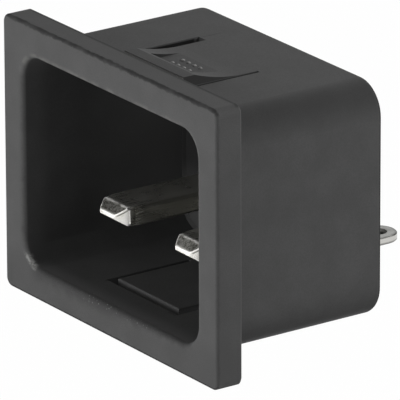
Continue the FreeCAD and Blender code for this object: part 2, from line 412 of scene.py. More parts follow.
@dataclass(frozen=True)
class ShellSizes:
    """Sizes of the moulding from which its marks are set out, in millimetres."""

    half_width: float = 18.35
    half_height: float = 14.3
    front: float = -3.0
    rear: float = 18.2
    shroud_half_width: float = 16.2
    shroud_half_height: float = 12.15
    wall: float = 1.2
    back_wall: float = 1.8
    mouth_corner: float = 2.6

    @property
    def mouth_half_width(self) -> float:
        """Half the width of the mouth and of the cavity behind it."""
        return self.shroud_half_width - self.wall

    @property
    def mouth_half_height(self) -> float:
        """Half the height of the mouth and of the cavity behind it."""
        return self.shroud_half_height - self.wall

    @property
    def cavity_end(self) -> float:
        """Where the cavity meets the back wall."""
        return self.rear - self.back_wall


@dataclass(frozen=True)
class SmoothAndShadedEdges:
    """Edges and faces that leave the mould smoother than the grained ones, with painted shade on them; in
    millimetres.
    """

    ragged: Noise = Noise(0.7, 4.0)
    ragged_reach: float = 0.6
    breaks: Noise = Noise(1.6)
    breaks_span: Span = (0.3, 0.6)
    broken_share: float = 0.5
    bezel_end: Span = (0.05, 0.0)
    front_edge_amount: float = 0.8
    front_edge_reach: Span = (0.42, 0.189)
    level_edge_rise: Span = (-0.7, -0.3)
    upright_edge_share: float = 0.3
    back_edge_amount: float = 0.5
    back_edge_run: Span = (-0.6, -0.4)
    back_edge_rise: Span = (-0.3, -0.1)
    low_edge_rise: Span = (0.36, 0.22)
    low_edge_tilt: Span = (-0.95, -0.85)
    low_rail_amount: float = 0.17
    low_rail_rise: Span = (-9.0, -12.5)
    low_rail_run: Span = (0.4, 0.2)
    shroud_start: Span = (0.0, 0.1)
    low_side_amount: float = 0.6
    low_side_rise: Span = (-7.0, -12.0)
    low_side_reach: Span = (-1.6, -0.6)
    upper_half: Span = (0.0, 1.0)
    rear_edge_run: Span = (-0.55, -0.3)
    rear_edge_tilt: Span = (0.95, 0.85)
    back_wall_amount: float = 0.95
    back_wall_run: Span = (0.5, 0.2)
    back_wall_rise: Span = (-8.5, -3.5)
    back_wall_tilt: Span = (-0.2, -0.6)

    def at(self, spot: Spot, shell: ShellSizes) -> Wire:
        """Finds all of them.

        Args:
            spot: The point of the moulding.
            shell: The moulding's sizes.

        Returns:
            1 on such an edge or face.
        """
        sideways, rearwards, upwards = spot.facing()
        # Painted shade along the rear edge.
        rear_edge = (spot.y - shell.rear).ramp(self.rear_edge_run)
        rear_edge = rear_edge * abs(rearwards).ramp(self.rear_edge_tilt)
        # Painted shade on the lower sides, darker towards the bottom.
        low_side = self.low_side_amount * spot.z.ramp(self.low_side_rise)
        low_side = low_side * (abs(spot.x) - shell.shroud_half_width).ramp(self.low_side_reach)
        # Painted shade on the rounded corners of the upper half, darkest halfway round.
        round_corner = abs(sideways * upwards) * spot.z.ramp(self.upper_half)
        shroud = low_side.most(round_corner) * spot.y.ramp(self.shroud_start)
        # Painted shade on the upper part of the cavity's back wall.
        back_wall = self.back_wall_amount * abs(spot.y - shell.cavity_end).ramp(self.back_wall_run)
        back_wall = back_wall * spot.z.ramp(self.back_wall_rise) * rearwards.ramp(self.back_wall_tilt)
        return self._bezel(spot, shell, upwards).most(rear_edge).most(shroud).most(back_wall)

    def _bezel(self, spot: Spot, shell: ShellSizes, upwards: Wire) -> Wire:
        """Finds those of the bezel, which carry painted shade.

        Args:
            spot: The point of the moulding.
            shell: The moulding's sizes.
            upwards: How far the surface faces up.

        Returns:
            1 on such an edge.
        """
        # Painted shade along the bezel's front edges, broken up, on its underside, low on its front and along
        # its top back edge.
        from_front, on_bezel = spot.y - shell.front, spot.y.ramp(self.bezel_end)
        ragged = self.ragged_reach * (self.ragged.at(spot) - NOISE_MEAN)
        broken = self.breaks.at(spot).ramp(self.breaks_span).lifted(self.broken_share)
        outside = (shell.half_width - abs(spot.x)).least(shell.half_height - abs(spot.z))
        level_edge = (abs(spot.z) - shell.half_height).ramp(self.level_edge_rise)
        front_edge = (from_front.most(outside) + ragged).ramp(self.front_edge_reach)
        front_edge = front_edge * level_edge.lifted(self.upright_edge_share) * broken
        back_edge = self.back_edge_amount * spot.y.ramp(self.back_edge_run) * on_bezel
        back_edge = back_edge * (spot.z - shell.half_height).ramp(self.back_edge_rise)
        low_edge = (spot.z + shell.half_height).ramp(self.low_edge_rise)
        low_edge = low_edge * upwards.ramp(self.low_edge_tilt) * on_bezel
        low_rail = spot.z.ramp(self.low_rail_rise) * from_front.ramp(self.low_rail_run)
        low_rail = self.low_rail_amount * low_rail
        return (self.front_edge_amount * front_edge).most(low_edge).most(low_rail).most(back_edge)


@dataclass(frozen=True)
class CavityWalls:
    """The cavity's side walls, with painted shade near the mouth and painted light towards the back; in
    millimetres.
    """

    wall_reach: Span = (0.3, 0.15)
    wall_tilt: Span = (-0.85, -0.97)
    near_run: Band = ((-1.5, 0.5), (8.0, 4.0))
    far_run: Span = (5.0, 14.0)

    def at(self, spot: Spot, shell: ShellSizes) -> tuple[Wire, Wire]:
        """Finds both side walls.

        Args:
            spot: The point of the moulding.
            shell: The moulding's sizes.

        Returns:
            Their near stretch and their far one.
        """
        outwards = spot.facing()[0] * spot.x.sign()
        wall = abs(abs(spot.x) - shell.mouth_half_width).ramp(self.wall_reach) * outwards.ramp(self.wall_tilt)
        return wall * spot.y.within(self.near_run), wall * spot.y.ramp(self.far_run)


class MouthMarks(NamedTuple):
    """Marks of the mouth: a painted highlight along its edge, painted shade on the roll of its lower edge,
    painted light on the lip in it, painted glints.
    """

    edge_highlight: Wire
    roll: Wire
    lip: Wire
    specks: Wire


@dataclass(frozen=True)
class MouthShadeAndLight:
    """Painted light and shade at the edge of the mouth; lengths in millimetres."""

    patches: Noise = Noise(1.1)
    patches_span: Span = (0.3, 0.6)
    edge_highlight_middle: float = 0.2
    edge_highlight_reach: Span = (0.5, 0.15)
    edge_highlight_run: Span = (0.5, 0.1)
    edge_highlight_bottom: Span = (-9.8, -8.8)
    edge_highlight_top: Span = (8.5, 10.5)
    edge_highlight_side_share: float = 0.35
    roll_reach: float = 0.75
    roll_growth: float = 0.95
    roll_growth_span: Span = (13.0, -6.0)
    roll_raggedness: float = 0.5
    roll_fade: Span = (1.0, -0.1)
    roll_start: Span = (-0.4, -0.1)
    roll_run: Span = (0.7, 0.3)
    from_sides: Span = (-0.5, -3.0)
    left_roll_amount: float = 0.4
    left_roll_fade: Span = (0.9, 0.3)
    left_roll_side: Span = (-13.0, -14.0)
    left_roll_rise: Band = ((-10.0, -8.0), (9.5, 7.5))
    left_roll_run: Span = (0.4, 0.2)
    lip_run: Band = ((0.3, 0.6), (2.6, 0.5))
    lip_depth: Band = ((-0.3, -0.1), (0.3, 0.1))
    low_specks: Specks = Specks(0.42, 0.1, 0.9)
    low_specks_across: Band = ((-6.0, -3.0), (9.0, 6.0))
    low_specks_middle: float = 0.2
    low_specks_reach: Span = (0.8, 0.4)
    low_specks_run: Span = (1.2, 0.6)
    lone_specks: Specks = Specks(2.6, 0.1, 0.08)
    corner_highlight_grain: Noise = Noise(0.3)
    corner_highlight_grain_span: Span = (0.4, 0.62)
    corner_highlight_base: float = 0.35
    corner_highlight_gain: float = 1.2
    corner_highlight_amount: float = 1.3
    corner_highlight_side: Span = (0.3, 1.2)
    corner_highlight_level: Span = (1.2, 2.0)
    corner_highlight_quarter: Span = (0.0, -1.0)
    corner_highlight_middle: float = 0.15
    corner_highlight_reach: Span = (0.5, 0.1)
    corner_highlight_run: Span = (0.8, 0.4)

    def at(self, spot: Spot, shell: ShellSizes) -> MouthMarks:
        """Finds all the marks.

        Args:
            spot: The point of the moulding.
            shell: The moulding's sizes.

        Returns:
            The marks.
        """
        patchy = self.patches.at(spot).ramp(self.patches_span)
        from_front = spot.y - shell.front
        past_side = (abs(spot.x) - (shell.mouth_half_width - shell.mouth_corner)).most(0.0)
        past_level = (abs(spot.z) - (shell.mouth_half_height - shell.mouth_corner)).most(0.0)
        from_edge = (past_side * past_side + past_level * past_level).root() - shell.mouth_corner
        below = -1.0 * spot.z - shell.mouth_half_height
        inner = (abs(spot.x) - shell.mouth_half_width).ramp(self.from_sides)

        # Painted highlight along the mouth's rounded edge, strongest along its top and left off its bottom.
        edge_highlight = abs(from_edge - self.edge_highlight_middle).ramp(self.edge_highlight_reach) * patchy
        edge_highlight = edge_highlight * from_front.ramp(self.edge_highlight_run) * spot.z.ramp(self.edge_highlight_bottom)
        edge_highlight = edge_highlight * spot.z.ramp(self.edge_highlight_top).lifted(self.edge_highlight_side_share)
        # Painted light on the floor just inside the mouth's lower edge.
        lip = from_front.within(self.lip_run) * below.within(self.lip_depth) * inner

        # Painted shade on the roll of the mouth's lower edge and along its left side.
        reach = self.roll_reach + self.roll_growth * spot.x.ramp(self.roll_growth_span)
        reach = reach + self.roll_raggedness * (patchy - NOISE_MEAN)
        roll = (below / reach).ramp(self.roll_fade) * below.ramp(self.roll_start)
        roll = roll * from_front.ramp(self.roll_run) * inner
        left_roll = from_edge.ramp(self.left_roll_fade) * spot.x.ramp(self.left_roll_side)
        left_roll = left_roll * spot.z.within(self.left_roll_rise) * from_front.ramp(self.left_roll_run)
        roll = roll.most(self.left_roll_amount * left_roll)

        # Painted glints: pale specks along the lower edge, and a few lone ones all over.
        low_middle = abs(below - self.low_specks_middle).ramp(self.low_specks_reach)
        low_middle = low_middle * spot.x.within(self.low_specks_across) * from_front.ramp(self.low_specks_run)
        specks = self.low_specks.at(spot) * low_middle + self.lone_specks.at(spot)

        # Painted highlight on the lower left corner, broken up by a grain.
        pale_highlight = past_side.ramp(self.corner_highlight_side) * past_level.ramp(self.corner_highlight_level)
        pale_highlight = pale_highlight * spot.z.ramp(self.corner_highlight_quarter) * spot.x.ramp(self.corner_highlight_quarter)
        pale_highlight = pale_highlight * abs(from_edge - self.corner_highlight_middle).ramp(self.corner_highlight_reach) * from_front.ramp(self.corner_highlight_run)
        corner_highlight_grain = self.corner_highlight_grain.at(spot).ramp(self.corner_highlight_grain_span)
        pale_highlight = pale_highlight * (self.corner_highlight_base + self.corner_highlight_gain * corner_highlight_grain)
        return MouthMarks(edge_highlight, roll, lip, specks.most(self.corner_highlight_amount * pale_highlight))


class LatchMarks(NamedTuple):
    """Marks of the latches: painted shade in the slits and on the nose's steep side, painted light on its
    crest, and a seam.
    """

    slits: Wire
    steep: Wire
    crest: Wire
    seam: Wire


@dataclass(frozen=True)
class LatchShadingAndSeam:
    """Painted shade, painted light and a seam on both latches, the lower of which is the upper one turned
    half round; in millimetres.
    """

    wide_slit: Ends = (-6.05, -4.85)
    wide_slit_end: Span = (11.6, 11.3)
    narrow_slit: Ends = (5.75, 6.05)
    narrow_slit_end: Span = (10.8, 10.7)
    slit_margin: Span = (0.08, 0.03)
    slit_start: Span = (0.5, 0.6)
    slit_top: Span = (-0.04, -0.16)
    slit_floor: Span = (10.8, 10.9)
    upper_half: Span = (-1.0, 1.0)
    lower_slit_share: float = 0.35
    nose_rise: Span = (-0.02, 0.05)
    nose_start: Span = (1.5, 1.8)
    steep_tilt: Span = (0.15, 0.4)
    slope_end: Span = (9.2, 8.8)
    crest_run: Span = (2.33, 2.27)
    crest_rise: Span = (12.6, 12.8)
    seam_across: float = -5.8
    seam_reach: Span = (0.1, 0.03)
    seam_run: Band = ((12.0, 12.2), (15.2, 13.6))
    seam_rise: Span = (-0.1, -0.02)

    def at(self, spot: Spot, shell: ShellSizes) -> LatchMarks:
        """Finds all the marks.

        Args:
            spot: The point of the moulding.
            shell: The moulding's sizes.

        Returns:
            The marks.
        """
        half = spot.z.sign()
        turned, outward, tilt = spot.x * half, abs(spot.z), spot.facing()[0] * half
        above_wall = outward - shell.shroud_half_height
        # Painted shade inside the slits, weaker on the lower latch.
        wide = self._in_slit(turned, self.wide_slit) * spot.y.ramp(self.wide_slit_end)
        narrow = self._in_slit(turned, self.narrow_slit) * spot.y.ramp(self.narrow_slit_end)
        sunk = above_wall.ramp(self.slit_top) * outward.ramp(self.slit_floor)
        slits = wide.most(narrow) * sunk * spot.y.ramp(self.slit_start)
        slits = slits * spot.z.ramp(self.upper_half).lifted(self.lower_slit_share)

        # Painted shade on the nose's steep side.
        nose = above_wall.ramp(self.nose_rise) * spot.y.ramp(self.nose_start)
        steep = tilt.ramp(self.steep_tilt) * nose * spot.y.ramp(self.slope_end)
        # Painted light on the front of the nose's crest, which lies in the bezel's shade.
        crest = spot.y.ramp(self.crest_run) * nose * outward.ramp(self.crest_rise)
        seam = abs(turned - self.seam_across).ramp(self.seam_reach)
        seam = seam * spot.y.within(self.seam_run) * above_wall.ramp(self.seam_rise)
        return LatchMarks(slits, steep, crest, seam)

    def _in_slit(self, across: Wire, slit: Ends) -> Wire:
        """1 where a value lies in a slit or in its narrow margin."""
        middle, half = 0.5 * (slit[0] + slit[1]), 0.5 * (slit[1] - slit[0])
        return (abs(across - middle) - half).ramp(self.slit_margin)


@dataclass(frozen=True)
class MouldedPlastic:
    """Matte black moulding with a fine spark-eroded grain, and with painted shade and painted light on its
    edges, cavity, mouth and latches; lengths in millimetres.
    """

    name: str = "black_moulding"
    colour: Colour = (0.072, 0.072, 0.072)
    mouth_highlight_colour: Colour = (0.12, 0.119, 0.115)
    painted_light_colour: Colour = (0.3, 0.3, 0.29)
    specular: float = 0.06
    shell: ShellSizes = ShellSizes()
    smooth_and_shaded_edges: SmoothAndShadedEdges = SmoothAndShadedEdges()
    cavity_walls: CavityWalls = CavityWalls()
    mouth_shade_and_light: MouthShadeAndLight = MouthShadeAndLight()
    latch_shading_and_seam: LatchShadingAndSeam = LatchShadingAndSeam()
    cloud: Noise = Noise(3.2, 3.0)
    cloud_span: Span = (0.3, 0.72)
    cloud_shade: Shade = Shade(1.0, 1.14)
    grain: Noise = Noise(0.13, 1.5)
    grain_span: Span = (0.35, 0.7)
    grain_shade: Shade = Shade(0.3, 0.75)
    fine_grain: Noise = Noise(0.0585, 1.0)
    edge_highlight_amount: float = 0.75
    edge_and_wall_shade: Shade = Shade(0.9, 0.25)
    near_wall_share: float = 0.3
    far_wall_shade: Shade = Shade(0.65, 1.8)
    roll_shade: Shade = Shade(1.0, 0.38)
    roll_base: float = 0.45
    roll_grain: float = 0.7
    lip_shade: Shade = Shade(1.0, 1.7)
    lip_base: float = 0.4
    lip_grain: float = 0.8
    slit_shade: Shade = Shade(0.9, 0.04)
    steep_shade: Shade = Shade(0.75, 0.3)
    seam_shade: Shade = Shade(0.6, 0.3)
    crest_amount: float = 0.9
    speck_amount: float = 0.3
    roughness: float = 0.62
    grain_roughness: float = 0.16
    cloud_roughness: float = 0.1
    smooth_roughness: float = 0.2
    grain_share: float = 0.7
    grain_depth: float = 0.014
    grain_strength: float = 0.5
    smooth_flatness: float = 0.7
    seam_depth: float = 0.6

    def material(self) -> bpy.types.Material:
        """Builds the finish.

        Returns:
            The material.
        """
        material, bench = new_material(self.name)
        spot = Spot(bench)
        cloud, grain = self.cloud.at(spot), self.grain.at(spot)
        smooth_and_shaded = self.smooth_and_shaded_edges.at(spot, self.shell)
        near_wall, far_wall = self.cavity_walls.at(spot, self.shell)
        mouth = self.mouth_shade_and_light.at(spot, self.shell)
        latch = self.latch_shading_and_seam.at(spot, self.shell)

        unevenness = (
            (cloud.ramp(self.cloud_span), self.cloud_shade),
            (grain.ramp(self.grain_span), self.grain_shade),
        )
        marks = (
            # Painted shade on the edges and faces found above, and on the side walls near the mouth.
            (smooth_and_shaded.most(self.near_wall_share * near_wall), self.edge_and_wall_shade),
            # Painted light on the side walls towards the back.
            (far_wall, self.far_wall_shade),
            # Painted shade on the roll of the mouth's lower edge.
            (mouth.roll * (self.roll_base + self.roll_grain * grain), self.roll_shade),
            # Painted light on the lip inside the mouth.
            (mouth.lip * (self.lip_base + self.lip_grain * grain), self.lip_shade),
            # Painted shade inside the latch slits.
            (latch.slits, self.slit_shade),
            # Painted shade on the latch noses' steep sides.
            (latch.steep, self.steep_shade),
            (latch.seam, self.seam_shade),
        )
        colour = self._shaded(bench, self.colour, unevenness)
        # Painted highlight along the mouth's edge.
        colour = bench.tint(self.edge_highlight_amount * mouth.edge_highlight, colour, self.mouth_highlight_colour)
        colour = self._shaded(bench, colour, marks)
        # Painted light on the latch crests, and painted glints in the pale specks.
        painted_light = (self.crest_amount * latch.crest).most(self.speck_amount * mouth.specks)
        colour = bench.tint(painted_light, colour, self.painted_light_colour)

        roughness = self.roughness + self.grain_roughness * (grain - NOISE_MEAN)
        roughness = roughness + self.cloud_roughness * (cloud - NOISE_MEAN) + self.smooth_roughness * smooth_and_shaded
        height = self.grain_share * grain + (1.0 - self.grain_share) * self.fine_grain.at(spot)
        height = height * (1.0 - self.smooth_flatness * smooth_and_shaded) - self.seam_depth * latch.seam
        bench.surface(
            {
                "Base Color": colour,
                "Roughness": roughness,
                "Specular IOR Level": self.specular,
                "Normal": bench.bump(height, self.grain_depth, self.grain_strength),
            }
        )
        return material

    def _shaded(self, bench: Bench, colour: Any, marks: Sequence[tuple[Wire, Shade]]) -> Wire:
        """Lays marks over a colour, one after another.

        Args:
            bench: The material's bench.
            colour: The colour below, or its wire.
            marks: Where each mark is, and how it changes the plain colour.

        Returns:
            The colour with all the marks on it.
        """
        for where, shade in marks:
            colour = bench.tint(shade.amount * where, colour, shade.of(self.colour))
        return colour


@dataclass(frozen=True)
class HighlitPips:
    """Tops of the finger pad's pips, pale with a painted highlight; lengths in millimetres."""

    name: str = "highlit_pips"
    colour: Colour = (0.22, 0.22, 0.215)
    low_colour: Colour = (0.08, 0.08, 0.08)
    rise: Span = (12.21, 12.31)
    specular: float = 0.2
    roughness: float = 0.5
    scuff: Noise = Noise(0.15)
    scuff_span: Span = (0.2, 0.5)
    scuff_roughness: float = 0.2
    scuff_depth: float = 0.02
    scuff_strength: float = 0.4

    def material(self) -> bpy.types.Material:
        """Builds the finish.

        Returns:
            The material.
        """
        material, bench = new_material(self.name)
        spot = Spot(bench)
        scuff = self.scuff.at(spot)
        # Painted highlight on the pips' tops, broken up by the scuff noise.
        pale_highlight = spot.z.ramp(self.rise) * scuff.ramp(self.scuff_span)
        bench.surface(
            {
                "Base Color": bench.tint(pale_highlight, self.low_colour, self.colour),
                "Roughness": self.roughness + self.scuff_roughness * (scuff - NOISE_MEAN),
                "Specular IOR Level": self.specular,
                "Normal": bench.bump(scuff, self.scuff_depth, self.scuff_strength),
            }
        )
        return material


class TipDepths(NamedTuple):
    """Depths below the faces of a blade's tip; at an edge of the blade, two of them are nothing."""

    tip: Wire
    flat: Wire
    slope: Wire
    side: Wire


@dataclass(frozen=True)
class BladeSizes:
    """Sizes of the pins' blades, in millimetres."""

    across: float = 6.5
    drop: float = 4.25
    tip: float = 1.2
    half_width: float = 2.5
    half_thickness: float = 1.0
    shoulder_radius: float = 4.0
    shoulder_run: float = 2.95
    slope_drop: float = 0.8
    slope_run: float = 1.2

    def depths(self, spot: Spot) -> TipDepths:
        """Finds how deep a point lies below each face of the tip.

        Args:
            spot: The point of the blade.

        Returns:
            The depths.
        """
        run = spot.y - self.tip
        flat = self.half_thickness - abs(spot.z + self.drop)
        slope = flat - self.slope_drop + run * (self.slope_drop / self.slope_run)
        to_shoulder = (self.shoulder_run - run).most(0.0)
        arc = (self.shoulder_radius**2 - to_shoulder * to_shoulder).root()
        side = arc + (self.half_width - self.shoulder_radius) - abs(abs(spot.x) - self.across)
        return TipDepths(run, flat, slope, side)


@dataclass(frozen=True)
class NickelPlate:
    """Used nickel on a drawn brass blade: satin, with painted highlights on the edges round its tip, and
    painted shade and a painted dark reflection on the blade; in millimetres.
    """

    name: str = "nickel_plate"
    colour: Colour = (0.80, 0.79, 0.75)
    stain_and_shade_colour: Colour = (0.46, 0.45, 0.38)
    scratch_and_highlight_colour: Colour = (0.92, 0.91, 0.88)
    blade: BladeSizes = BladeSizes()
    lines: Noise = Noise(0.07, 1.0, (1.0, 30.0, 1.0))
    stain: Noise = Noise(2.2, 3.0)
    stain_span: Span = (0.4, 0.7)
    stain_amount: float = 0.45
    mottle: Noise = Noise(0.34, 3.0)
    mottle_span: Span = (0.38, 0.62)
    patches: Noise = Noise(0.5)
    patches_span: Span = (0.25, 0.5)
    specks: Specks = Specks(1.5, 0.12, 0.2)
    edge_reach: Span = (0.16, 0.056)
    fold_reach: Span = (0.208, 0.048)
    fold_amount: float = 0.6
    side_reach: Span = (0.08, 0.03)
    shoulder_run: Band = ((0.5, 0.9), (1.36, 1.26))
    shoulder_amount: float = 0.7
    tip_highlights_end: Span = (2.3, 1.5)
    tip_highlights_share: float = 0.35
    slope_reach: Span = (0.1, 0.03)
    slope_run: Band = ((0.1, 0.25), (1.25, 1.1))
    slope_shade: Shade = Shade(1.0, 0.3)
    slope_mottle: float = 0.5
    scratches_span: Span = (0.52, 0.64)
    scratches_end: Span = (9.0, 1.5)
    scratches_amount: float = 0.5
    dark_line_depth: float = 0.22
    dark_line_reach: Span = (0.099, 0.044)
    dark_line_run: Band = ((0.1, 0.3), (1.3, 1.1))
    dark_line_rise: Span = (-0.1, 0.1)
    dark_side_run: Band = ((1.3, 1.4), (1.95, 1.7))
    dark_side_reach: Span = (0.14, 0.06)
    dark_line_shade: Shade = Shade(0.85, 0.25)
    painted_shade_amount: float = 0.95
    painted_shade_start: Span = (1.25, 1.7)
    top_tilt: Span = (0.6, 0.9)
    top_brightness: float = 0.45
    metallic: float = 0.92
    slope_metallic: float = 0.04
    tip_highlights_metallic: float = -0.55
    scratches_metallic: float = -0.16
    specks_metallic: float = -0.5
    roughness: float = 0.27
    stain_roughness: float = 0.1
    lines_roughness: float = 0.15
    tip_highlights_roughness: float = 0.15
    slope_roughness: float = 0.1
    mottle_height: float = 0.5
    lines_height: float = 0.25
    tip_highlights_height: float = 0.4
    bump_depth: float = 0.012
    bump_strength: float = 0.6

    def material(self) -> bpy.types.Material:
        """Builds the finish.

        Returns:
            The material.
        """
        material, bench = new_material(self.name)
        spot = Spot(bench)
        depths = self.blade.depths(spot)
        lines, specks = self.lines.at(spot), self.specks.at(spot)
        stain = self.stain.at(spot).ramp(self.stain_span)
        mottle = self.mottle.at(spot).ramp(self.mottle_span)
        patchy = self.patches.at(spot).ramp(self.patches_span)
        tip_highlights = self._tip_highlights(depths) * patchy.lifted(self.tip_highlights_share)
        scratches = lines.ramp(self.scratches_span) * depths.tip.ramp(self.scratches_end) * patchy
        slope = depths.slope.ramp(self.slope_reach) * depths.tip.within(self.slope_run)
        # Painted shade on the blade behind its tip, weaker on its top.
        on_top = spot.facing()[2].ramp(self.top_tilt)
        painted_shade = (self.painted_shade_amount - self.top_brightness * on_top) * depths.tip.ramp(self.painted_shade_start)

        # Real stains, and the painted shade behind the tip.
        colour = bench.tint((self.stain_amount * stain).most(painted_shade), self.colour, self.stain_and_shade_colour)
        # Painted dark reflection on the sloped facet, broken up by a mottle.
        slope_tint = self.slope_shade.amount * slope * (1.0 - self.slope_mottle * mottle)
        colour = bench.tint(slope_tint, colour, self.slope_shade.of(self.stain_and_shade_colour))
        # Painted highlights on the tip's edges, with real scratches and specks, in one pale colour.
        bright = (tip_highlights + self.scratches_amount * scratches + specks).least(1.0)
        colour = bench.tint(bright, colour, self.scratch_and_highlight_colour)
        # Painted dark line along the shoulder, and painted shade at the start of the side.
        darkening = self.dark_line_shade.amount * self._dark_lines(spot, depths)
        colour = bench.tint(darkening, colour, self.dark_line_shade.of(self.stain_and_shade_colour))

        metallic = self.metallic + self.slope_metallic * slope + self.tip_highlights_metallic * tip_highlights
        metallic = metallic + self.scratches_metallic * scratches + self.specks_metallic * specks
        roughness = self.roughness + self.stain_roughness * stain + self.slope_roughness * slope
        roughness = roughness + self.lines_roughness * (lines - NOISE_MEAN) + self.tip_highlights_roughness * tip_highlights
        height = self.mottle_height * mottle * slope + self.lines_height * lines + self.tip_highlights_height * tip_highlights
        bench.surface(
            {
                "Base Color": colour,
                "Metallic": metallic.most(0.0),
                "Roughness": roughness,
                "Normal": bench.bump(height, self.bump_depth, self.bump_strength),
            }
        )
        return material

    def _tip_highlights(self, depths: TipDepths) -> Wire:
        """Finds the edges and folds round the tip that carry a painted highlight.

        Args:
            depths: How deep the point lies below each face of the tip.

        Returns:
            1 on such an edge.
        """
        upper = depths.flat.least(depths.slope)
        corner = upper.least(depths.side).most(upper.most(depths.side).least(depths.tip))
        folds = self.fold_amount * depths.flat.most(depths.slope).ramp(self.fold_reach)
        shoulder = depths.side.ramp(self.side_reach) * depths.tip.within(self.shoulder_run)
        edges = corner.ramp(self.edge_reach).most(folds).most(self.shoulder_amount * shoulder)
        return edges * depths.tip.ramp(self.tip_highlights_end)

    def _dark_lines(self, spot: Spot, depths: TipDepths) -> Wire:
        """Finds the painted dark line along the round shoulder, and the painted shade at the start of the
        side behind it.

        Args:
            spot: The point of the blade.
            depths: How deep the point lies below each face of the tip.

        Returns:
            1 on both.
        """
        line = abs(depths.slope - self.dark_line_depth).ramp(self.dark_line_reach)
        line = line * depths.side.ramp(self.side_reach) * depths.tip.within(self.dark_line_run)
        line = line * (spot.z + self.blade.drop).ramp(self.dark_line_rise)
        start = depths.tip.within(self.dark_side_run) * depths.side.ramp(self.dark_side_reach)
        return line.most(start)


@dataclass(frozen=True)
class TinPlate:
    """Dull tin on brass sheet, brighter where it was sheared, with painted shade in the hole and painted dark
    lines along the rims and the outline; lengths in millimetres.
    """

    name: str = "tin_plate"
    rolled_colour: Colour = (0.22, 0.22, 0.21)
    sheared_colour: Colour = (0.62, 0.61, 0.585)
    painted_dark_colour: Colour = (0.03, 0.03, 0.028)
    metallic: float = 1.0
    top: float = -7.2
    thickness: float = 0.8
    hole_across: float = 6.5
    hole_along: float = 24.75
    hole_radius: float = 0.9
    hole_margin: float = 1.1
    hole_to_end: float = 1.9
    bend_end: float = 20.5
    cloud: Noise = Noise(0.9, 3.0)
    cloud_span: Span = (0.4, 0.68)
    cloud_shade: Shade = Shade(1.0, 0.72)
    brush: Noise = Noise(0.08, 1.0, (1.0, 14.0, 14.0))
    past_bend: Span = (0.0, 0.3)
    rim_tilt: Span = (0.7, 0.92)
    rim_evenness: float = 0.7
    dark_rim_tilt: Band = ((0.08, 0.3), (0.92, 0.7))
    dark_rim_amount: float = 0.8
    hole_depth: Span = (0.2, 0.42)
    hole_top_share: float = 0.45
    hole_amount: float = 0.97
    painted_shade_reach: Span = (0.4, 0.12)
    painted_shade_start: Span = (0.0, 0.5)
    low_rim_depth: Span = (-0.3, -0.16)
    painted_shade_amount: float = 0.55
    roughness: float = 0.34
    cloud_roughness: float = 0.18
    brush_roughness: float = 0.14
    hole_roughness: float = 0.15
    cloud_share: float = 0.7
    dent_depth: float = 0.012
    dent_strength: float = 0.5

    def material(self) -> bpy.types.Material:
        """Builds the finish.

        Returns:
            The material.
        """
        material, bench = new_material(self.name)
        spot = Spot(bench)
        cloud, brush = self.cloud.at(spot), self.brush.at(spot)
        depth, behind_bend = self.top - spot.z, spot.y - self.bend_end

        # The sheared rim faces sideways, and past the bend it faces rearwards too; a painted dark line runs
        # along its edges.
        sideways, rearwards, _ = spot.facing()
        rim = sideways * sideways + rearwards * rearwards * behind_bend.ramp(self.past_bend)
        sheared, dark_rim_line = rim.ramp(self.rim_tilt), rim.within(self.dark_rim_tilt)
        # Painted shade in the hole, darker deeper in.
        across, along = abs(spot.x) - self.hole_across, spot.y - self.hole_along
        from_hole = across * across + along * along
        in_hole = from_hole.ramp(((self.hole_margin * self.hole_radius) ** 2, self.hole_radius**2))
        in_hole = in_hole * depth.ramp(self.hole_depth).lifted(self.hole_top_share)
        # Painted shade along the lug's outline on its flat faces, and along the lower edge of its rim.
        behind = along.most(0.0)
        to_rim = self.hole_to_end - (across * across + behind * behind).root()
        painted_shade = to_rim.ramp(self.painted_shade_reach) * (1.0 - sheared) * behind_bend.ramp(self.painted_shade_start)
        painted_shade = painted_shade.most(sheared * (depth - self.thickness).ramp(self.low_rim_depth))

        darkening = self.cloud_shade.of(self.rolled_colour)
        colour = bench.tint(self.cloud_shade.amount * cloud.ramp(self.cloud_span), self.rolled_colour, darkening)
        colour = bench.tint(sheared * cloud.lifted(self.rim_evenness), colour, self.sheared_colour)
        # Painted dark lines along the rims, painted shade in the hole and along the outline.
        dark = (self.dark_rim_amount * dark_rim_line).most(self.hole_amount * in_hole).most(self.painted_shade_amount * painted_shade)
        colour = bench.tint(dark, colour, self.painted_dark_colour)
        roughness = self.roughness + self.cloud_roughness * (cloud - NOISE_MEAN)
        roughness = roughness + self.brush_roughness * (brush - NOISE_MEAN) + self.hole_roughness * in_hole
        height = self.cloud_share * cloud + (1.0 - self.cloud_share) * brush
        bench.surface(
            {
                "Base Color": colour,
                "Metallic": self.metallic,
                "Roughness": roughness,
                "Normal": bench.bump(height, self.dent_depth, self.dent_strength),
            }
        )
        return material


def dress_node(node: bpy.types.Object, material: bpy.types.Material) -> None:
    """Puts a material in every slot of a node of the frame.

    Args:
        node: The node's object.
        material: The material.
    """
    for slot in node.material_slots:
        slot.material = material


def settled(piece: bpy.types.Object, modifier: bpy.types.Modifier) -> bpy.types.Object:
    """Keeps what a modifier made of a piece as its plain mesh.

    Args:
        piece: The piece.
        modifier: Its only modifier.

    Returns:
        The same piece, with no modifier left on it.
    """
    evaluated = piece.evaluated_get(bpy.context.evaluated_depsgraph_get())
    mesh = bpy.data.meshes.new_from_object(evaluated)
    mesh.name = piece.name
    piece.modifiers.remove(modifier)
    piece.data = mesh
    return piece


def plain_mesh(name: str, tree: bpy.types.NodeTree, values: Mapping[str, Any]) -> bpy.types.Object:
    """Runs a geometry tree and keeps its result as a plain mesh.

    Args:
        name: The piece's name.
        tree: The geometry tree.
        values: The tree's inputs, by socket identifier.

    Returns:
        The piece, with no modifier left on it.
    """
    piece = bpy.data.objects.new(name, bpy.data.meshes.new(name))
    bpy.context.scene.collection.objects.link(piece)
    maker = piece.modifiers.new("maker", "NODES")
    maker.node_group = tree
    for identifier, value in values.items():
        maker[identifier] = value
    return settled(piece, maker)


